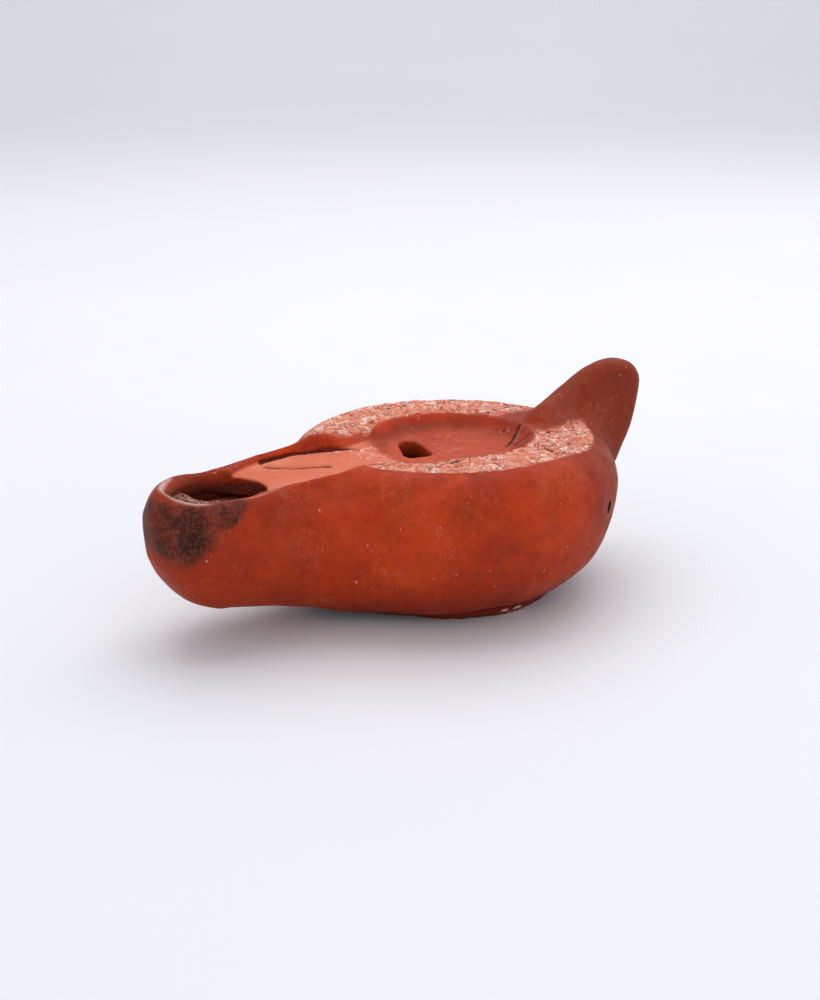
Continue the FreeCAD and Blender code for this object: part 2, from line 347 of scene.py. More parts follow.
nozzle_line = np.vstack([curve_through(NOZZLE_CURVE), [(0.0, NOZZLE_TOP)]])
nozzle_profile = FlatField(nozzle_line, [(-2, NOZZLE_TOP), (-2, NOZZLE_CURVE[0][1])], (0, -1), (24, 40))

filling_hole_profile = FlatField(curve_through(FILLING_HOLE), FILLING_HOLE[:1], (-16, -9), (4, 17))

channel_far = curve_through(CHANNEL_FAR)
channel_near = curve_through(CHANNEL_NEAR)

handle_profile = FlatField(curve_through(HANDLE_CURVE), HANDLE_INSIDE, (8, 6), (56, 50))


def nozzle_place(x, y, z):
    """A point's distance from the nozzle's middle and its height, as on the profile of the round end.

    The profile is turned about the wick hole, then drawn out wider and deeper into the body. The top rises
    towards the body, dips a little beside the wick hole and leans to the far side.
    """
    t = np.clip((x - WICK_X) / NOZZLE_RUN, 0.0, 1.0)
    half = NOZZLE_HALF + NOZZLE_FLARE * t**2.2
    bottom = NOZZLE_CURVE[0][1]
    low = np.maximum(bottom - 5.4 * t - 4.5 * t**2, FOOT_HEIGHT + 0.1)
    near_dip = NEAR_DIP * ramp(y, 1.0, -7.0) * ramp(x, -36, -50)
    far_dip = FAR_DIP * ramp(y, 2.0, 8.0) * ramp(x, -62, -52) * ramp(x, -30, -40)
    top = NOZZLE_TOP + NOZZLE_RISE * ramp(x, -50, -26) - near_dip - far_dip
    level = NOZZLE_TOP - (top - z) * (NOZZLE_TOP - bottom) / (top - low)
    reach = np.minimum(x - WICK_X, 0.0) * np.interp(level, *zip(*CHIN))
    lean = NOZZLE_LEAN * ramp(x, -50, -36) * ramp(z, 24, 30)
    return np.hypot(reach, (y - lean) * NOZZLE_HALF / half), level


def solid_field(x, y, z):
    """Body and nozzle with no hollow, holes or channel, joined softly below and tightly on top."""
    body = body_profile(np.hypot(x, y), z)
    nozzle = nozzle_profile(*nozzle_place(x, y, z)) * 0.95
    nozzle = np.maximum(nozzle, x - NOZZLE_END)
    blend = 9.0 - 7.4 * ramp(z, 25.0, 31.5)
    return smooth_min(body, nozzle, blend)


def outside_channel(x, y):
    """How far a place lies outside the channel's sides, negative inside."""
    return np.maximum(y - np.interp(x, *channel_far.T), np.interp(x, *channel_near.T) - y)


def channel_field(x, y, z):
    """The shallow open channel from the wick hole to the discus, its sides laid back where it opens out."""
    ends = np.maximum(-49.5 - x, x + 11.0)
    open_out = ramp(x, -25.0, -15.0)
    slope = (z - CHANNEL_FLOOR) * (0.3 + 0.9 * open_out)
    floor = CHANNEL_FLOOR + 0.12 * np.sin(x / 3.1) * np.cos(y / 2.7) - z
    return smooth_max(smooth_max(outside_channel(x, y) - slope, ends, 2.0), floor, 1.0 + 1.6 * open_out)


def wick_hole_field(x, y, z):
    """The mouth of the nozzle, as an upright oval bar."""
    long_half, wide_half = WICK_HOLE_HALF
    away = np.hypot((x - WICK_HOLE_X) / long_half, (y - WICK_HOLE_Y) / wide_half)
    wobble = 0.2 * np.sin(3 * np.arctan2(y, x - WICK_HOLE_X) + 0.6)
    return np.maximum((away - 1.0) * WICK_HOLE_MEAN + wobble, WICK_HOLE_FOOT - z)


def wick_lip(x, y):
    """Radius of the wick hole's edge: thin on the near side, soft on the far side and in front."""
    return 0.5 + 2.4 * ramp(y, -5.0, 3.0) * ramp(x, -46.0, -51.0) + 1.2 * ramp(x, -56.0, -61.0)


def filling_hole_field(x, y, z):
    """The filling hole, as an upright bar."""
    return np.maximum(filling_hole_profile(x, y), FILLING_HOLE_FOOT - z)


def lamp_field(x, y, z):
    """The hollow lamp without its handle, foot, inner slip and crust."""
    solid = solid_field(x, y, z)
    outside = smooth_max(solid, -channel_field(x, y, z), 1.1 + 1.6 * ramp(x, -25.0, -15.0))
    cavity = solid + WALL + 0.35 * np.sin(x / 6.0) * np.cos(y / 7.0)
    roof = DISCUS_FLOOR - WALL + 3.0 * ramp(np.hypot(x, y), 17.0, 21.0) * ramp(x, -24.0, -12.0)
    cavity = np.maximum(np.maximum(cavity, FOOT_HEIGHT + WALL - z), z - roof)
    shell = smooth_max(outside, -cavity, 0.6)
    shell = smooth_max(shell, -wick_hole_field(x, y, z), wick_lip(x, y))
    return smooth_max(shell, -filling_hole_field(x, y, z), 0.7)


def handle_field(x, y, z):
    """The upright fin of the handle, with rounded edges, cut to a wedge at the front of its far side."""
    half = HANDLE_HALF - 2.0 * ramp(z, 27.0, 43.0) - ramp(z, 24.0, 14.0)
    front = np.interp(z, HANDLE_FRONT_HEIGHTS, HANDLE_FRONT_PLACES)
    wedge = np.clip(0.6 + 0.72 * (x - front), 0.3, half)
    half = np.where(y > 0.0, wedge, half)
    edge = np.minimum(half, HANDLE_EDGE)
    flat = handle_profile(x, z) + edge
    side = np.abs(y) - half + edge
    outer = np.hypot(np.maximum(flat, 0.0), np.maximum(side, 0.0))
    return outer + np.minimum(np.maximum(flat, side), 0.0) - edge


def root_blend(x, y):
    """Radius of the clay smoothed round the handle's root: wide on the near side, a crease elsewhere."""
    side = 0.9 + 6.8 * ramp(y, 2.5, -2.5)
    return 0.3 + side * ramp(x - 0.35 * np.abs(y), 15.5, 21.5)


def handle_root_field(x, y, z):
    """The clay smoothed round the handle's root, feathered into body and handle."""
    solid = smooth_max(solid_field(x, y, z), -channel_field(x, y, z), 1.1)
    handle = handle_field(x, y, z)
    joined = smooth_min(solid, handle, root_blend(x, y)) + 0.04
    joined = np.maximum(joined, -(solid + 1.2))
    joined = np.maximum(joined, -(handle + 1.2))
    return np.maximum(joined, 13.5 - x)


def handle_lug_field(x, y, z):
    """The handle down to just under the body's surface."""
    return np.maximum(handle_field(x, y, z), -(solid_field(x, y, z) + 0.8))


def foot_field(x, y, z):
    """The low ring foot, a little uneven."""
    r = np.hypot(x, y)
    wave = 0.25 * np.sin(3 * np.arctan2(y, x)) + 0.15 * np.sin(7 * np.arctan2(y, x) + 1.0)
    outer = r - (FOOT_RADIUS - 1.2 + 1.2 * ramp(z, 0.0, FOOT_HEIGHT)) - wave * 0.4
    ring = smooth_max(outer, FOOT_BORE - r + wave * 0.5, 1.0)
    return smooth_max(ring, -z, 0.5)


def slip_field(x, y, z):
    """The brushed band of slip inside the joint of the two halves."""
    inner = solid_field(x, y, z) + WALL
    layer = np.maximum(inner - 0.3, -(inner + 0.9))
    wobble = 0.4 * np.sin(x / 4.0) * np.cos(y / 5.0)
    width = np.abs(z - SEAM_HEIGHT + wobble) - 1.7
    return np.maximum(smooth_max(layer, width, 0.5), crust_high[0] - x)


def crust_field(x, y, z):
    """Crumbly burnt residue in the front of the nozzle, heaped up to just under the wick hole's lip."""
    inner = solid_field(x, y, z) + WALL
    lumps = 0.8 * noise(x, y, z, 2.2, 5) + 0.5 * noise(x, y, z, 1.0, 6)
    room = np.minimum(wick_hole_field(x, y, z), inner) - 0.5
    long_half, wide_half = CRUST_BORE_HALF
    bore = 1.0 - np.hypot((x - CRUST_BORE_X) / long_half, (y - CRUST_BORE_Y) / wide_half)
    fall = 0.55 * np.maximum(x + 58.0, 0.0) * ramp(y, -6.0, 0.0) + 0.12 * np.maximum(y + 2.0, 0.0)
    top = z - (crust_high[2] + 0.2 - fall + 0.5 * lumps)
    heap = smooth_max(smooth_max(room, top, 0.6), bore * wide_half + lumps, 0.8)
    return np.maximum(np.maximum(heap, crust_low[2] - z), x - crust_high[0] - 0.6)


# ---------------------------------------------------------------- meshing


def points_of_field(field, low, high, step):
    """Corner points and four-sided faces of the field's surface in a box."""
    low = np.array(low, float)
    count = np.ceil((np.array(high, float) - low) / step).astype(int) + 1
    axes = [low[k] + np.arange(count[k]) * step for k in range(3)]
    values = np.empty(count, np.float32)
    x, y = np.meshgrid(axes[0], axes[1], indexing="ij")
    for number, height in enumerate(axes[2]):
        values[:, :, number] = field(x, y, np.full_like(x, height))
    for end in (0, -1):
        values[end, :, :] = np.maximum(values[end, :, :], step)
        values[:, end, :] = np.maximum(values[:, end, :], step)
        values[:, :, end] = np.maximum(values[:, :, end], step)
    reach = 3.0 * step
    grid = openvdb.FloatGrid(reach)
    grid.copyFromArray(np.clip(values, -reach, reach), ijk=(0, 0, 0), tolerance=0.0)
    points, quads = grid.convertToQuads(0.0)
    return low + points.astype(float) * step, quads


def gradient(field, points, step=0.05):
    """Slope of a field at points, by central differences."""
    out = np.empty_like(points)
    for k in range(3):
        shift = np.zeros(3)
        shift[k] = step
        ahead = field(*(points + shift).T)
        behind = field(*(points - shift).T)
        out[:, k] = (ahead - behind) / (2 * step)
    return out


def lengths(vectors):
    """Length of each vector, never quite nothing."""
    return np.maximum(np.linalg.norm(vectors, axis=1), 1e-9)


def settle(field, points, reach):
    """Move points onto the field's surface, but no further than a reach."""
    for _ in range(2):
        slope = gradient(field, points)
        steep = np.maximum((slope**2).sum(1), 0.05)
        move = -slope * (field(*points.T) / steep)[:, None]
        points = points + move * np.minimum(1.0, reach / lengths(move))[:, None]
    return points


def mesh_object(name, points, faces):
    """A smooth-shaded mesh object from points in millimetres."""
    mesh = bpy.data.meshes.new(name)
    mesh.from_pydata((points * MM).tolist(), [], faces.tolist())
    mesh.validate()
    piece = bpy.data.objects.new(name, mesh)
    bpy.context.scene.collection.objects.link(piece)
    mesh.shade_smooth()
    return piece


def part_at(piece, height, keep_below):
    """Cut a closed mesh level at a height and close it with a flat face."""
    mesh = bmesh.new()
    mesh.from_mesh(piece.data)
    everything = mesh.verts[:] + mesh.edges[:] + mesh.faces[:]
    up = Vector((0, 0, 1 if keep_below else -1))
    level = (0, 0, height * MM)
    cut = bmesh.ops.bisect_plane(
        mesh, geom=everything, dist=1e-7, plane_co=level, plane_no=up, clear_outer=True
    )
    rim = [edge for edge in cut["geom_cut"] if isinstance(edge, bmesh.types.BMEdge)]
    filled = bmesh.ops.triangle_fill(mesh, use_beauty=True, edges=rim, normal=up)
    for face in filled["geom"]:
        if isinstance(face, bmesh.types.BMFace):
            face.smooth = False
    for edge in rim:
        edge.smooth = False
    bmesh.ops.recalc_face_normals(mesh, faces=mesh.faces[:])
    mesh.to_mesh(piece.data)
    mesh.free()


def drop_crumbs(piece, least=60):
    """Delete loose bits of mesh with few points."""
    mesh = bmesh.new()
    mesh.from_mesh(piece.data)
    mesh.verts.ensure_lookup_table()
    seen = set()
    for seed in mesh.verts:
        if seed.index in seen:
            continue
        group = [seed]
        seen.add(seed.index)
        for vertex in group:
            for edge in vertex.link_edges:
                other = edge.other_vert(vertex)
                if other.index not in seen:
                    seen.add(other.index)
                    group.append(other)
        if len(group) < least:
            bmesh.ops.delete(mesh, geom=group, context="VERTS")
    mesh.to_mesh(piece.data)
    mesh.free()


def build(name, field, low, high, step, detail=None):
    """A piece from its field in a box, with its surface detail and the layers that its material reads."""
    points, quads = points_of_field(field, low, high, step)
    points = settle(field, points, 0.4 * step)
    layers = {}
    if detail is not None:
        normals = gradient(field, points)
        normals /= lengths(normals)[:, None]
        lift, layers = detail(points, normals)
        points = points + normals * lift[:, None]
    piece = mesh_object(name, points, quads[:, ::-1])
    for layer, values in layers.items():
        attribute = piece.data.attributes.new(layer, "FLOAT", "POINT")
        attribute.data.foreach_set("value", values.astype(np.float32))
    return piece


# ---------------------------------------------------------------- surface detail

# Cracks and folds on the top face: route, half width, depth, how often it is broken.
CRACKS = [
    ([(-38.0, 9.2), (-36.2, 7.2), (-33.6, 5.2), (-30.4, 3.8), (-27.4, 2.6)], 1.5, 1.2, 0.0),
    (
        [(-38.0, 11.2), (-34.0, 12.5), (-29.0, 12.8), (-24.5, 12.2), (-20.5, 10.8), (-16.5, 9.0)],
        0.85,
        0.7,
        0.0,
    ),
    (
        [(-25.0, -8.0), (-19.0, -11.8), (-15.8, -13.6), (-13.6, -15.6), (-9.6, -16.6), (-6.3, -17.8)],
        1.1,
        1.0,
        0.4,
    ),
    ([(-4.0, -17.8), (1.0, -18.0), (6.0, -16.8), (10.0, -14.8)], 0.8, 0.6, 0.9),
    ([(17.0, -1.0), (13.2, -3.7), (10.3, -6.1)], 0.8, 0.6, 0.5),
    ([(12.4, -6.6), (15.5, -8.2), (17.6, -10.6)], 0.8, 0.7, 0.2),
    ([(18.0, -10.0), (21.0, -12.0), (24.0, -11.4)], 0.8, 0.6, 0.4),
    ([(8.0, -11.6), (12.0, -12.6), (15.0, -15.0)], 0.8, 0.5, 0.6),
]

# Blackest places of the soot: middle, radius.
CHAR_PATCHES = [
    ((-62.6, -9.6, 26.0), 5.0),
    ((-61.8, -10.2, 22.4), 4.6),
    ((-66.2, -5.5, 28.0), 3.2),
    ((-55.5, -12.2, 27.4), 3.6),
    ((-66.4, -5.0, 22.0), 3.4),
]


def groove(x, y, route, width):
    """1 along the middle of a line on the top face, fading to 0 at its edges."""
    away = distance_to_line(x, y, curve_through(route, 6))
    return np.clip(1.0 - away / width, 0.0, 1.0) ** 1.3


def scrawl(x, y, z, size, seed, width):
    """Thin winding lines, 1 along their middles and 0 between them."""
    return np.clip(1.0 - np.abs(noise(x, y, z, size, seed)) / width, 0.0, 1.0)


def band_mask(x, y, z):
    """How much of the worn stamped pattern of the shoulder is at a place: none by channel and handle."""
    r = np.hypot(x, y)
    outer = BAND_OUTER + 1.5 * ramp(x, 8.0, 20.0)
    there = ramp(r, BAND_INNER - 0.3, BAND_INNER + 0.7) * ramp(r, outer + 0.3, outer - 0.5)
    far_side = ramp(r, 31.5, 29.5) * ramp(y, 6.0, 14.0) * ramp(r, BAND_INNER, BAND_INNER + 0.7)
    there = np.maximum(there, far_side) * ramp(z, 30.4, 31.4)
    there = there * np.maximum(ramp(outside_channel(x, y), 1.6, 3.4), ramp(x, -13.5, -12.0))
    return there * (1.0 - ramp(x, 14.0, 18.0) * ramp(np.abs(y + 1.0), 9.5, 6.5))


def worn_pattern(x, y, z):
    """Height of the worn leaf scrolls stamped round the shoulder, about -1 to 1."""
    r = np.hypot(x, y)
    angle = np.arctan2(y, x)
    u = angle * 23.0 + 2.0 * noise(x, y, z, 4.6, 11)
    v = r - 23.0 + 1.6 * noise(x, y, z, 4.0, 12)
    leaf = np.sin((u - 1.4 * np.abs(v)) * 2 * math.pi / 3.6)
    arcs = np.sin(np.hypot(((u + 3.6) % 7.2) - 3.6, v + 2.5) * 2 * math.pi / 2.8)
    choose = ramp(noise(x, y, z, 9.0, 13), -0.15, 0.25)
    pattern = 0.45 * (leaf * (1 - choose) + arcs * choose)
    crest = scrawl(x, y, z, 3.0, 14, 0.14) + 0.7 * scrawl(x, y, z, 1.9, 24, 0.16)
    crease = scrawl(x, y, z, 3.4, 15, 0.10)
    return pattern + 0.8 * crest - 1.3 * crease


def soot_mask(x, y, z, depth):
    """How sooty a place is: the nozzle's tip outside, most on the near side, and the nozzle's inside."""
    rise = np.clip((z - 19.0) / 10.0, 0.0, 1.0)
    edge = -62.4 + 11.0 * rise**2.4 + 2.0 * noise(x, y, z, 4.5, 31) + 0.6 * noise(x, y, z, 1.4, 32)
    outside = ramp(x, edge + 5.0, edge - 2.5) * ramp(z + 1.2 * noise(x, y, z, 3.0, 33), 16.5, 22.5)
    outside = outside * (0.55 + 0.45 * ramp(y, 7.0, 1.0)) * (1.0 - 0.3 * ramp(z, 28.6, 30.0))
    # Less soot on the front of the rim, so that its painted highlight shows.
    outside = outside * (1.0 - 0.45 * ramp(z, 29.0, 30.2) * ramp(x, -56.0, -60.0))
    inside = ramp(depth, 1.6, 3.2) * ramp(x, -36.0, -44.0)
    return np.maximum(outside, 1.2 * inside)


def char_mask(x, y, z):
    """The blackest patches of the soot, as soft balls."""
    total = 0.0
    for place, radius in CHAR_PATCHES:
        away = np.sqrt((x - place[0]) ** 2 + (y - place[1]) ** 2 + ((z - place[2]) * 0.8) ** 2)
        total = total + np.clip(1.0 - away / radius, 0.0, 1.0)
    return np.clip(total, 0.0, 1.0)


def cut_cracks(x, y, z, level, lift, relief):
    """Cut the cracks and folds, each with a low burr along one side, darkened in the groove with painted
    shade and paled on the burr with painted highlight.
    """
    wander_x = x + 0.4 * noise(x, y, z, 1.7, 18)
    wander_y = y + 0.4 * noise(x, y, z, 1.7, 19)
    patchy = ramp(noise(x, y, z, 2.0, 17), 0.0, 0.5)
    for route, width, depth, gaps in CRACKS:
        near = groove(wander_x, wander_y, route, width)
        edge = groove(wander_x, wander_y + 0.7, route, width * 1.3)
        broken = level * (1.0 - gaps * patchy).clip(0.0, 1.0)
        lift = lift + broken * (0.15 * edge - depth * near)
        # Painted highlight on the burr, painted shade in the groove.
        relief = relief + broken * (0.8 * np.clip(edge - near, 0.0, 1.0) - 2.3 * near)
    return lift, relief


def mark_discus(x, y, z, upward, lift, relief):
    """The scratches round the discus, the wrinkles where the channel opens into it and the stamped ring."""
    from_x, from_y = x - SCRATCH_CENTRE[0], y - SCRATCH_CENTRE[1]
    turn = 9.0 * np.arctan2(from_y, from_x)
    away = np.hypot(from_x, from_y)
    strokes = scrawl(turn, 0.35 * away, z * 0.0, 1.5, 21, 0.3)
    strokes = strokes * ramp(away, 1.5, 3.5) * ramp(away, 22.0, 12.0)
    smears = ramp(noise(x, y, z, 4.0, 22), -0.1, 0.3) * strokes * ramp(x, -5.0, -2.0)
    on_discus = ramp(np.hypot(x, y), 16.5, 14.5) * upward
    lift = lift + 0.16 * smears * on_discus
    relief = relief + 0.55 * smears * on_discus

    mouth = ramp(x, -23.0, -20.0) * ramp(x, -11.0, -14.0) * ramp(outside_channel(x, y), 0.5, -1.0) * upward
    wrinkles = mouth * scrawl(x, y, z, 2.0, 23, 0.25)
    lift = lift + 0.16 * wrinkles
    relief = relief + 0.8 * wrinkles

    ring = np.hypot(x - STAMP_PLACE[0], y - STAMP_PLACE[1])
    stamp = np.clip(1 - np.abs(ring - STAMP_RADIUS) / 0.35, 0, 1) * upward
    centre = np.clip(1 - ring / 0.5, 0, 1) * upward
    return lift + 0.2 * stamp - 0.35 * centre, relief + 0.6 * stamp - 1.8 * centre


def mark_edges(x, y, z, solid, lift, relief):
    """Painted highlight on the nozzle's crest and rim, the creases by the handle and above the foot cut in
    and darkened with painted shade, and the pit.
    """
    across, height = nozzle_place(x, y, z)
    # Painted highlight along the nozzle's crest and round its rim.
    crest = np.clip(1.0 - np.abs(across - NOZZLE_CREST) / 0.5, 0, 1) * ramp(height, 30.3, 30.9)
    crest = crest * ramp(x, -22.0, -27.0)
    relief = relief + 0.65 * crest * ramp(y, 4.0, 0.0) * ramp(x, -63.0, -59.0)
    rim = np.clip(1.0 - np.abs(across - NOZZLE_RIM) / 1.6, 0, 1) * ramp(height, 29.4, 30.4)
    rim = rim * ramp(x, -56.0, -60.0)
    relief = relief + 0.8 * rim * (1.0 + 0.5 * noise(x, y, z, 1.6, 25))

    meeting = np.clip(1.0 - np.abs(handle_field(x, y, z)) / 1.3, 0, 1)
    meeting = meeting * ramp(solid, -2.0, -1.0) * ramp(solid, 1.6, 0.8)
    crease = meeting * ramp(y, -2.5, -0.5) * ramp(x, 15.5, 17.0) * ramp(z, 28.0, 29.0)
    lift = lift - 0.4 * crease
    # Painted shade in the crease by the handle.
    relief = relief - 2.0 * crease

    joint = ramp(z, FOOT_HEIGHT + 1.1, FOOT_HEIGHT + 0.3)
    joint = joint * ramp(np.hypot(x, y), FOOT_RADIUS - 2.0, FOOT_RADIUS - 0.5)
    lift = lift - 0.5 * joint
    # Painted shade in the groove above the foot.
    relief = relief - 1.6 * joint

    pit = np.hypot(np.hypot(x - PIT_PLACE[0], y - PIT_PLACE[1]), (z - PIT_PLACE[2]) * 0.6)
    return lift - PIT_DEPTH * ramp(pit, 1.0, 0.45), relief


def pale_and_painted_shade(x, y, z, solid, level):
    """Where the clay is pale and dry, in the channel, and where painted shade darkens the discus wall and the
    inside.
    """
    r = np.hypot(x, y)
    channel = ramp(outside_channel(x, y), 0.4, -0.6) * ramp(x, -50.0, -47.0) * ramp(x, -10.0, -15.0)
    channel = channel * ramp(z, 28.6, 29.2)
    floor = ramp(r, 17.4, 14.5) * ramp(z, DISCUS_FLOOR + 1.1, DISCUS_FLOOR + 0.3)
    # Painted shade on the discus wall, and on the inside of the hollow.
    wall = ramp(r, 11.0, 14.5) * ramp(r, 18.2, 17.0) * ramp(z, 31.6, 30.6) * level
    wall = wall * (1.0 - ramp(x, 11.0, 14.0) * ramp(np.abs(y + 1.0), 10.0, 7.0))
    hollow = 1.3 * ramp(-solid, 1.6, 3.0) * (1.0 - level)
    pale = np.maximum(channel * level, 0.2 * floor * level)
    return pale, np.maximum(wall * (1.0 - channel), hollow)


def clay_detail(points, normals):
    """How far each point is lifted, and the layers of the clay: unevenness, worn relief and marks, and the
    masks of painted light and shade.
    """
    x, y, z = points.T
    solid = solid_field(x, y, z)
    level = ramp(z, 27.0, 28.0) * ramp(normals[:, 2], 0.35, 0.7)
    outside = np.maximum(ramp(solid, -2.2, -1.6), level)
    upward = ramp(normals[:, 2], 0.5, 0.9) * outside

    band = band_mask(x, y, z) * ramp(normals[:, 2], 0.3, 0.6)
    relief = band * (0.9 + 0.5 * noise(x, y, z, 6.0, 16)) * worn_pattern(x, y, z)
    lift = 0.22 * noise(x, y, z, 13.0, 1) + 0.10 * noise(x, y, z, 5.0, 2) + 0.03 * noise(x, y, z, 1.6, 3)
    lift = lift + 0.38 * relief * (1.0 - 0.6 * ramp(np.hypot(x, y), 26.5, 29.0))

    lift, relief = cut_cracks(x, y, z, level, lift, relief)
    lift, relief = mark_discus(x, y, z, upward, lift, relief)
    lift, relief = mark_edges(x, y, z, solid, lift, relief)
    pale, painted_shade = pale_and_painted_shade(x, y, z, solid, level)
    layers = {
        "relief": relief * outside,
        "band": band * outside,
        "pale": pale,
        "painted_shade": painted_shade,
        "soot": soot_mask(x, y, z, -solid),
        "char": char_mask(x, y, z),
    }
    return lift * outside, layers


def foot_detail(points, _):
    """The worn edge of the foot ring, with pale chips, and painted shade over the rest of the ring."""
    x, y, z = points.T
    lift = 0.15 * noise(x, y, z, 6.0, 41) + 0.08 * noise(x, y, z, 1.6, 42)
    edge = ramp(np.hypot(x, y), FOOT_RADIUS - 2.6, FOOT_RADIUS - 1.4) * ramp(np.abs(z - 0.9), 0.9, 0.4)
    chips = edge * ramp(noise(x, y, z, 1.5, 43), 0.0, 0.2) * ramp(noise(x, y, z, 9.0, 44), -0.2, 0.2)
    # Pale chips, and painted shade everywhere else on the ring.
    return lift - 0.25 * chips, {"relief": 1.5 * chips - 0.95 * (1.0 - chips)}


# ---------------------------------------------------------------- materials


def new_material(name):
    """A new material with its nodes, its links and its shader."""
    material = bpy.data.materials.new(name)
    material.use_nodes = True
    nodes = material.node_tree.nodes
    return material, nodes, material.node_tree.links, nodes["Principled BSDF"]


def colour(red, green, blue):
    """A screen colour from 0 to 255 as a linear one."""
    out = []
    for channel in (red, green, blue):
        c = channel / 255.0
        out.append(c / 12.92 if c <= 0.04045 else ((c + 0.055) / 1.055) ** 2.4)
    return (*out, 1.0)


# Fired clay: the two tones of the side and its clouds, and the painted shade laid on the back, the nozzle and
# the underside.
CLAY_DARK, CLAY_LIGHT = colour(164, 44, 8), colour(192, 60, 14)
CLAY_CLOUD = colour(142, 48, 18)
CLAY_BACK_SHADE = colour(126, 47, 22)
CLAY_FRONT_SHADE = colour(134, 40, 12)
CLAY_LOW_SHADE = colour(116, 26, 6)
DUST = colour(172, 84, 56)
SPECK_LIGHT, SPECK_DARK = colour(206, 86, 44), colour(120, 34, 16)

# Drier clay in the channel, painted shade on the discus wall and inside, the worn band and the marks on them.
DRY_DARK, DRY_LIGHT, DRY_SPECK = colour(210, 110, 80), colour(222, 126, 98), colour(180, 76, 46)
WALL_AND_HOLLOW_SHADE = colour(124, 34, 6)
WORN_DARK, WORN_LIGHT = colour(206, 102, 72), colour(234, 158, 134)
# Pale marks and painted highlight for raised crests, painted shade for crevices.
PALE_MARKS_AND_HIGHLIGHT, CREVICE_SHADE = colour(252, 222, 210), colour(84, 24, 10)
FLECK, SCRATCH = colour(230, 150, 124), colour(216, 120, 92)
# Painted shade in the pit.
PIT_SHADE = colour(34, 9, 5)

# Soot: a brown film, black patches and the pale streaks rubbed through them.
SOOT_FILM, SOOT_BLACK, SOOT_STREAK = colour(86, 35, 23), colour(48, 16, 9), colour(176, 92, 70)

CRUST_DARK, CRUST_LIGHT, CRUST_CRUMB = colour(54, 22, 16), colour(122, 66, 52), colour(214, 166, 146)
SLIP_DARK, SLIP_LIGHT = colour(150, 60, 36), colour(176, 88, 62)
FLOOR_DARK, FLOOR_LIGHT = colour(230, 232, 236), colour(236, 237, 241)
ROOM = colour(246, 247, 250)


class Painter:
    """Short calls for the shader nodes that the materials share."""

    def __init__(self, nodes, links):
        self.nodes = nodes
        self.links = links
        self.place = nodes.new("ShaderNodeTexCoord").outputs["Object"]

    def join(self, source, target):
        """Link a socket to a target, or set the target to a number or a colour."""
        if isinstance(source, bpy.types.NodeSocket):
            self.links.new(source, target)
        else:
            target.default_value = source

    def noise(self, per_mm, detail=4.0, roughness=0.55, distortion=0.0, stretch=(1, 1, 1)):
        """Smooth random values about 0.5, with so many lumps to a millimetre."""
        mapping = self.nodes.new("ShaderNodeMapping")
        mapping.inputs["Scale"].default_value = stretch
        self.links.new(self.place, mapping.inputs["Vector"])
        node = self.nodes.new("ShaderNodeTexNoise")
        node.inputs["Scale"].default_value = per_mm / MM
        node.inputs["Detail"].default_value = detail
        node.inputs["Roughness"].default_value = roughness
        node.inputs["Distortion"].default_value = distortion
        self.links.new(mapping.outputs[0], node.inputs["Vector"])
        return node.outputs["Fac"]

    def stretch(self, value, low, high, to_low=0.0, to_high=1.0):
        """A value spread smoothly from one range to another, and held at its ends."""
        node = self.nodes.new("ShaderNodeMapRange")
        node.interpolation_type = "SMOOTHSTEP"
        self.join(value, node.inputs["Value"])
        ends = {"From Min": low, "From Max": high, "To Min": to_low, "To Max": to_high}
        for name, number in ends.items():
            node.inputs[name].default_value = number
        return node.outputs["Result"]

    def calc(self, kind, first, second):
        """One step of arithmetic, of a kind that Blender's Math node has."""
        node = self.nodes.new("ShaderNodeMath")
        node.operation = kind
        self.join(first, node.inputs[0])
        self.join(second, node.inputs[1])
        return node.outputs[0]

    def mix(self, amount, first, second):
        """From the first colour to the second, by an amount."""
        node = self.nodes.new("ShaderNodeMix")
        node.data_type = "RGBA"
        node.blend_type = "MIX"
        self.join(amount, node.inputs["Factor"])
        self.join(first, node.inputs["A"])
        self.join(second, node.inputs["B"])
        return node.outputs["Result"]

    def wash(self, base, mask, strength, tint):
        """A base with a tint laid over it where a mask says, no stronger than a strength."""
        return self.mix(self.calc("MULTIPLY", mask, strength), base, tint)

    def line(self, value, width):
        """1 where a value is close to its middle, 0.5: thin winding contour lines."""
        away = self.calc("ABSOLUTE", self.calc("SUBTRACT", value, 0.5), 0.0)
        return self.stretch(away, width, 0.0)

    def spot(self, place, radius, core):
        """1 within a core about a place in millimetres, 0 outside a radius."""
        node = self.nodes.new("ShaderNodeVectorMath")
        node.operation = "DISTANCE"
        self.links.new(self.place, node.inputs[0])
        node.inputs[1].default_value = [c * MM for c in place]
        return self.stretch(node.outputs["Value"], radius * MM, core * MM)

    def attribute(self, name):
        """A layer of numbers that the mesh carries."""
        node = self.nodes.new("ShaderNodeAttribute")
        node.attribute_name = name
        return node.outputs["Fac"]

    def along_and_up(self):
        """Place along the lamp and up, in metres."""
        split = self.nodes.new("ShaderNodeSeparateXYZ")
        self.links.new(self.place, split.inputs[0])
        return split.outputs["X"], split.outputs["Z"]

    def bump(self, height, strength, depth_mm, normal=None):
        """Fine roughness, over another bump if one is given."""
        node = self.nodes.new("ShaderNodeBump")
        node.inputs["Strength"].default_value = strength
        node.inputs["Distance"].default_value = depth_mm * MM
        self.links.new(height, node.inputs["Height"])
        if normal is not None:
            self.links.new(normal, node.inputs["Normal"])
        return node.outputs["Normal"]


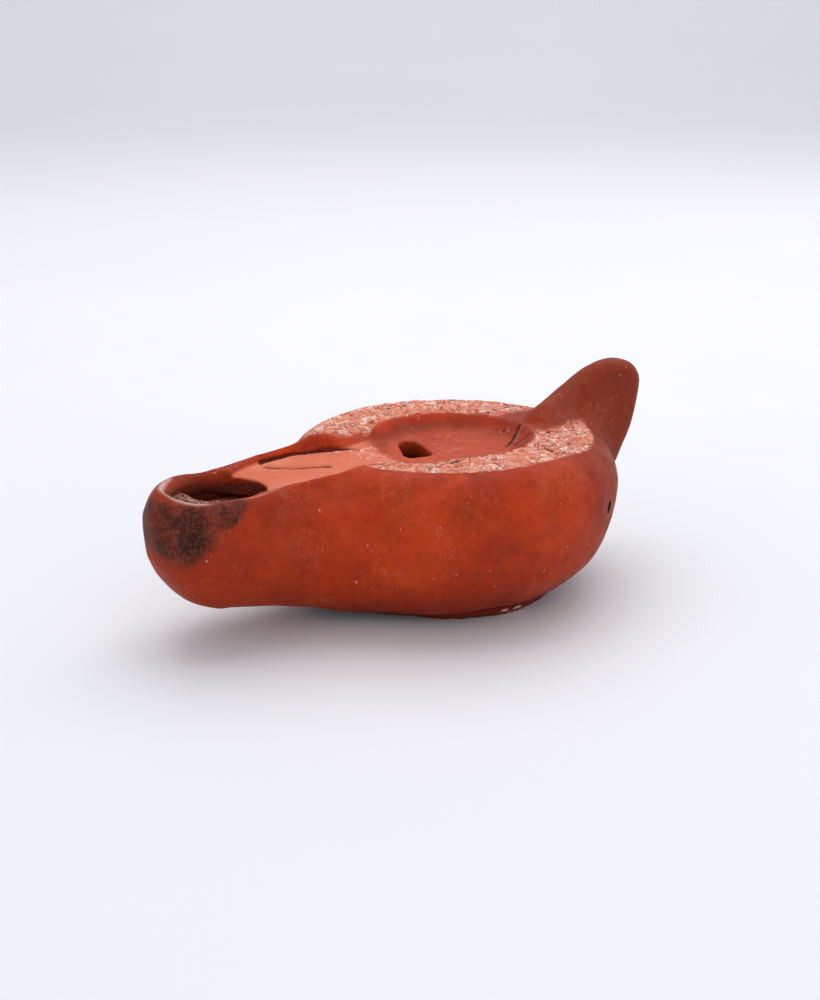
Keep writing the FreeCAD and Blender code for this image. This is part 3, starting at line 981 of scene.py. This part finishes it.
def clay_colour(paint, blotch, mottle):
    """The smooth clay, with clouds, dust and specks, and painted shade: browner and darker at the back,
    darker on the nozzle and below.
    """
    along, up = paint.along_and_up()
    base = paint.mix(blotch, CLAY_DARK, CLAY_LIGHT)
    cloud = paint.stretch(paint.noise(0.15, 6.0, 0.65, 0.3), 0.45, 0.7)
    base = paint.wash(base, cloud, 0.5, CLAY_CLOUD)
    # Painted shade: browner and darker towards the back, darker on the nozzle and towards the bottom.
    base = paint.wash(base, paint.stretch(along, 2.0 * MM, 30.0 * MM), 0.85, CLAY_BACK_SHADE)
    base = paint.wash(base, paint.stretch(along, -28.0 * MM, -50.0 * MM), 0.35, CLAY_FRONT_SHADE)
    base = paint.wash(base, paint.stretch(up, 15.0 * MM, 2.0 * MM), 0.6, CLAY_LOW_SHADE)
    dusty = paint.stretch(paint.noise(0.1, 7.0, 0.68, 0.4), 0.52, 0.74, 0.0, 0.42)
    base = paint.mix(dusty, base, DUST)
    base = paint.mix(paint.stretch(mottle, 0.52, 0.75, 0.0, 0.35), base, SPECK_LIGHT)
    return paint.mix(paint.stretch(mottle, 0.48, 0.28, 0.0, 0.4), base, SPECK_DARK)


def worn_colour(paint, base, blotch, mottle):
    """The dry channel, painted shade on the discus wall and inside, and the pale worn band, laid over the
    smooth clay.
    """
    dry = paint.mix(blotch, DRY_DARK, DRY_LIGHT)
    dry = paint.mix(paint.stretch(mottle, 0.5, 0.3, 0.0, 0.35), dry, DRY_SPECK)
    base = paint.mix(paint.attribute("pale"), base, dry)
    # Painted shade on the discus wall and inside the hollow.
    base = paint.wash(base, paint.attribute("painted_shade"), 0.6, WALL_AND_HOLLOW_SHADE)
    worn = paint.mix(paint.stretch(mottle, 0.35, 0.65), WORN_DARK, WORN_LIGHT)
    return paint.wash(base, paint.attribute("band"), 0.95, worn)


def crest_highlights_and_crevice_shade(paint):
    """Painted highlight where the relief stands up, with the pale marks, and painted shade where it is cut
    in, with finer lines of both on the band.
    """
    relief, band = paint.attribute("relief"), paint.attribute("band")
    highlight_line = paint.line(paint.noise(0.26, 1.5, 0.5, 1.2), 0.04)
    shade_line = paint.line(paint.noise(0.22, 1.5, 0.5, 1.4), 0.016)
    crest = paint.calc("MAXIMUM", paint.stretch(relief, 0.3, 1.1), paint.calc("MULTIPLY", highlight_line, band))
    low = paint.stretch(relief, -0.45, -1.4)
    return crest, paint.calc("MAXIMUM", low, paint.calc("MULTIPLY", shade_line, band))


def scuffed_colour(paint, base):
    """Pale flecks, and fine scratches in scuffed places."""
    fleck = paint.stretch(paint.noise(0.9, 2.0, 0.4), 0.735, 0.775)
    base = paint.wash(base, fleck, 0.6, FLECK)
    scratch = paint.line(paint.noise(0.35, 5.0, 0.7, 0.2, (1.0, 1.0, 0.35)), 0.009)
    scuffed = paint.stretch(paint.noise(0.11, 2.0), 0.5, 0.62)
    return paint.wash(base, paint.calc("MULTIPLY", scratch, scuffed), 0.5, SCRATCH)


def sooty_colour(paint, base):
    """The brown film of soot, its black patches and the pale streaks through them."""
    soot, char = paint.attribute("soot"), paint.attribute("char")
    smoke = paint.noise(0.3, 9.0, 0.78, 0.1, (1.0, 1.0, 0.8))
    thick = paint.stretch(smoke, 0.36, 0.6, 0.7, 0.98)
    film = paint.calc("MULTIPLY", paint.stretch(soot, 0.05, 0.85), thick)
    base = paint.mix(film, base, SOOT_FILM)
    dark = paint.stretch(paint.calc("ADD", smoke, paint.calc("MULTIPLY", char, 0.34)), 0.53, 0.80)
    base = paint.wash(base, paint.calc("MULTIPLY", dark, paint.stretch(soot, 0.2, 0.8)), 0.85, SOOT_BLACK)
    rubbed = paint.line(paint.noise(0.5, 5.0, 0.7, 0.8), 0.02)
    streak = paint.calc("MULTIPLY", rubbed, paint.stretch(soot, 0.2, 0.7))
    return paint.wash(base, streak, 0.45, SOOT_STREAK)


def terracotta():
    """Fired red clay: saturated on the side, paler where the top is worn, sooty at the nozzle, with painted
    highlight and shade.
    """
    material, nodes, links, shader = new_material("terracotta")
    paint = Painter(nodes, links)
    blotch = paint.stretch(paint.noise(0.06, 4.0, 0.55, 0.4), 0.35, 0.65)
    mottle = paint.noise(0.7, 6.0, 0.75)
    crest, crevice_shade = crest_highlights_and_crevice_shade(paint)

    base = clay_colour(paint, blotch, mottle)
    base = worn_colour(paint, base, blotch, mottle)
    # Pale marks and painted highlight on the crests, painted shade in the crevices.
    base = paint.wash(base, crest, 0.8, PALE_MARKS_AND_HIGHLIGHT)
    base = paint.wash(base, crevice_shade, 0.9, CREVICE_SHADE)
    base = scuffed_colour(paint, base)
    base = sooty_colour(paint, base)
    # Painted shade: the pit darkened nearly to black.
    base = paint.mix(paint.spot(PIT_PLACE, 1.7, 1.0), base, PIT_SHADE)
    links.new(base, shader.inputs["Base Color"])

    gloss = paint.stretch(paint.noise(0.3, 4.0, 0.6), 0.3, 0.7, 0.5, 0.68)
    dull = paint.calc("MAXIMUM", paint.attribute("pale"), paint.attribute("band"))
    links.new(paint.calc("ADD", gloss, paint.calc("MULTIPLY", dull, 0.2)), shader.inputs["Roughness"])
    shader.inputs["Specular IOR Level"].default_value = 0.16
    grain = paint.bump(paint.noise(1.6, 7.0, 0.7), 0.5, 0.16)
    strokes = paint.bump(paint.noise(0.4, 5.0, 0.6, 0.3, (1, 1, 4)), 0.3, 0.3, grain)
    scrolls = paint.bump(paint.calc("SUBTRACT", crest, crevice_shade), 0.7, 0.22, strokes)
    links.new(scrolls, shader.inputs["Normal"])
    return material


def burnt_crust():
    """Charred, crumbly residue, with pale crumbs."""
    material, nodes, links, shader = new_material("burnt_crust")
    paint = Painter(nodes, links)
    crumbs = paint.noise(0.9, 6.0, 0.75, 0.6)
    base = paint.mix(paint.stretch(crumbs, 0.40, 0.56), CRUST_DARK, CRUST_LIGHT)
    base = paint.mix(paint.line(paint.noise(0.8, 4.0, 0.6, 0.8), 0.05), base, CRUST_CRUMB)
    links.new(base, shader.inputs["Base Color"])
    shader.inputs["Roughness"].default_value = 0.9
    shader.inputs["Specular IOR Level"].default_value = 0.2
    links.new(paint.bump(crumbs, 0.8, 0.6), shader.inputs["Normal"])
    return material


def brushed_slip():
    """Dull slip with brush strokes round it."""
    material, nodes, links, shader = new_material("brushed_slip")
    paint = Painter(nodes, links)
    strokes = paint.noise(0.4, 5.0, 0.6, 0.4, (1, 1, 6))
    base = paint.mix(paint.stretch(strokes, 0.35, 0.65), SLIP_DARK, SLIP_LIGHT)
    links.new(base, shader.inputs["Base Color"])
    shader.inputs["Roughness"].default_value = 0.85
    links.new(paint.bump(strokes, 0.5, 0.3), shader.inputs["Normal"])
    return material


def pale_floor():
    """Nearly white studio paper."""
    material, nodes, links, shader = new_material("pale_floor")
    paint = Painter(nodes, links)
    base = paint.mix(paint.noise(0.004, 3.0), FLOOR_DARK, FLOOR_LIGHT)
    links.new(base, shader.inputs["Base Color"])
    shader.inputs["Roughness"].default_value = 0.6
    return material


# ---------------------------------------------------------------- pieces

FINE_STEP = 0.28
COARSE_STEP = 0.42
SLIP_STEP = 0.45
CRUST_STEP = 0.25


def build_halves():
    """The two halves of the lamp, each cut level at the joint."""
    side = BELLY_RADIUS + 1.0
    front = NOZZLE_TIP - 1.0
    low_box = ((front, -side, 0.5), (side, side, SEAM_HEIGHT + 2.0))
    top_box = ((front, -side, SEAM_HEIGHT - 2.0), (side, side, BAND_HEIGHT + 1.0))
    lower = build("lower_bowl_clay", lamp_field, *low_box, COARSE_STEP, clay_detail)
    part_at(lower, SEAM_HEIGHT, keep_below=True)
    upper = build("upper_half_clay", lamp_field, *top_box, FINE_STEP, clay_detail)
    part_at(upper, SEAM_HEIGHT, keep_below=False)
    return lower, upper


def build_handle():
    """The handle and the clay round its root."""
    lug_box = ((12.0, -9.0, 10.0), (HANDLE_BACK + 2.0, 9.0, HANDLE_TOP + 2.0))
    lug = build("handle_lug_clay", handle_lug_field, *lug_box, FINE_STEP * 1.3, clay_detail)
    root_box = ((12.0, -16.0, 8.0), (HANDLE_BACK, 14.0, HANDLE_TOP))
    root = build("handle_root_clay", handle_root_field, *root_box, FINE_STEP, clay_detail)
    drop_crumbs(root, 400)
    return lug, root


def build_foot():
    """The foot ring, cut level under the body."""
    side = FOOT_RADIUS + 2.0
    foot_box = ((-side, -side, -1.0), (side, side, 4.0))
    foot = build("foot_ring_clay", foot_field, *foot_box, FINE_STEP * 1.4, foot_detail)
    part_at(foot, FOOT_HEIGHT + 0.4, keep_below=True)
    return foot


def build_pieces():
    """Every piece of the lamp, by the frame node that it replaces."""
    lower, upper = build_halves()
    lug, root = build_handle()
    foot = build_foot()
    slip = build("seam_slip_band", slip_field, slip_low - 2.0, slip_high + 2.0, SLIP_STEP)
    above = np.array([3.0, 3.0, 6.0])
    crust = build("wick_crust_lump", crust_field, crust_low - 3.0, crust_high + above, CRUST_STEP)
    drop_crumbs(crust)
    return {
        "lower_bowl": lower,
        "upper_half": upper,
        "handle_lug": lug,
        "handle_root_coil": root,
        "foot_ring": foot,
        "seam_slip": slip,
        "wick_crust": crust,
    }


def place_piece(piece, node, material):
    """Give a piece its material and put it in the frame in place of a node."""
    piece.data.materials.clear()
    piece.data.materials.append(material)
    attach(piece, "root")
    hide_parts(node)


# ---------------------------------------------------------------- studio

CAMERA_DISTANCE = 0.320
CAMERA_AZIMUTH = -32.87
CAMERA_ELEVATION = 21.14
CAMERA_PAN = -1.52
CAMERA_TILT = 3.08
CAMERA_LENS = 53.72

# Soft lights in the room: name, place, size, power, what it points at.
LIGHTS = [
    ("top_softbox", (0.18, 0.28, 0.78), (0.9, 0.9), 4.2, (0.0, 0.0, 0.0)),
    ("left_softbox", (-0.75, -0.25, 0.45), (0.6, 0.6), 0.3, (0.0, 0.0, 0.0)),
    ("right_softbox", (0.75, 0.1, 0.45), (0.6, 0.6), 0.6, (0.0, 0.0, 0.0)),
    ("front_softbox", (-0.1, -0.8, 0.4), (0.7, 0.7), 0.85, (0.0, 0.0, 0.0)),
    ("backdrop_light", (0.6, 0.9, 1.1), (1.0, 1.0), 4.0, (1.3, 2.0, 0.3)),
]
ROOM_STRENGTH = 0.69


def place_camera():
    """The camera, at its distance and angle from the foot's middle, turned a little aside and up."""
    azimuth, elevation = math.radians(CAMERA_AZIMUTH), math.radians(CAMERA_ELEVATION)
    flat = math.cos(elevation)
    back = Vector((math.sin(azimuth) * flat, -math.cos(azimuth) * flat, math.sin(elevation)))
    ahead = -back
    right = ahead.cross(Vector((0, 0, 1))).normalized()
    up = right.cross(ahead)
    pan, tilt = math.radians(CAMERA_PAN), math.radians(CAMERA_TILT)
    ahead = math.cos(pan) * ahead + math.sin(pan) * right
    right = ahead.cross(up)
    ahead = math.cos(tilt) * ahead + math.sin(tilt) * up
    up = right.cross(ahead)
    data = bpy.data.cameras.new("camera")
    data.lens = CAMERA_LENS
    data.clip_start = 0.01
    data.clip_end = 20.0
    camera = bpy.data.objects.new("camera", data)
    turned = Matrix((right, up, -ahead)).transposed().to_4x4()
    camera.matrix_world = Matrix.Translation(back * CAMERA_DISTANCE) @ turned
    bpy.context.scene.collection.objects.link(camera)
    bpy.context.scene.camera = camera


def area_light(name, place, size, power, aim):
    """A soft light at a place, pointing at another."""
    data = bpy.data.lights.new(name, "AREA")
    data.shape = "RECTANGLE"
    data.size, data.size_y = size
    data.energy = power
    lamp = bpy.data.objects.new(name, data)
    lamp.location = place
    lamp.rotation_euler = (Vector(aim) - Vector(place)).to_track_quat("-Z", "Y").to_euler()
    bpy.context.scene.collection.objects.link(lamp)


def build_floor(middle=0.35, flat=1.4, bend=0.8, sides=96, rise=8):
    """A round sheet of studio floor that curves up into a backdrop all the way round."""
    rings = [(middle, 0.0), (flat, 0.0)]
    for number in range(1, rise + 1):
        turn = 0.5 * math.pi * number / rise
        rings.append((flat + bend * math.sin(turn), bend * (1 - math.cos(turn))))
    points = [(0.0, 0.0, 0.0)]
    for radius, height in rings:
        for side in range(sides):
            turn = 2 * math.pi * side / sides
            points.append((radius * math.cos(turn), radius * math.sin(turn), height))
    faces = [(0, 1 + side, 1 + (side + 1) % sides) for side in range(sides)]
    for ring in range(len(rings) - 1):
        for side in range(sides):
            after = (side + 1) % sides
            first, second = 1 + ring * sides, 1 + (ring + 1) * sides
            faces.append((first + side, second + side, second + after, first + after))
    mesh = bpy.data.meshes.new("floor")
    mesh.from_pydata(points, [], faces)
    mesh.shade_smooth()
    floor = bpy.data.objects.new("floor", mesh)
    bpy.context.scene.collection.objects.link(floor)
    return floor


def build_studio():
    """The floor, the light of the room and the soft lights."""
    floor = build_floor()
    floor.data.materials.append(pale_floor())

    world = bpy.data.worlds.new("soft_room")
    world.use_nodes = True
    background = world.node_tree.nodes["Background"]
    background.inputs["Color"].default_value = ROOM
    background.inputs["Strength"].default_value = ROOM_STRENGTH
    bpy.context.scene.world = world
    for light in LIGHTS:
        area_light(*light)


def main():
    """Build the lamp and its studio."""
    pieces = build_pieces()
    clay = terracotta()
    materials = {"seam_slip": brushed_slip(), "wick_crust": burnt_crust()}
    for node, piece in pieces.items():
        place_piece(piece, node, materials.get(node, clay))
    build_studio()
    place_camera()
    bpy.context.scene.view_settings.view_transform = "Standard"


main()
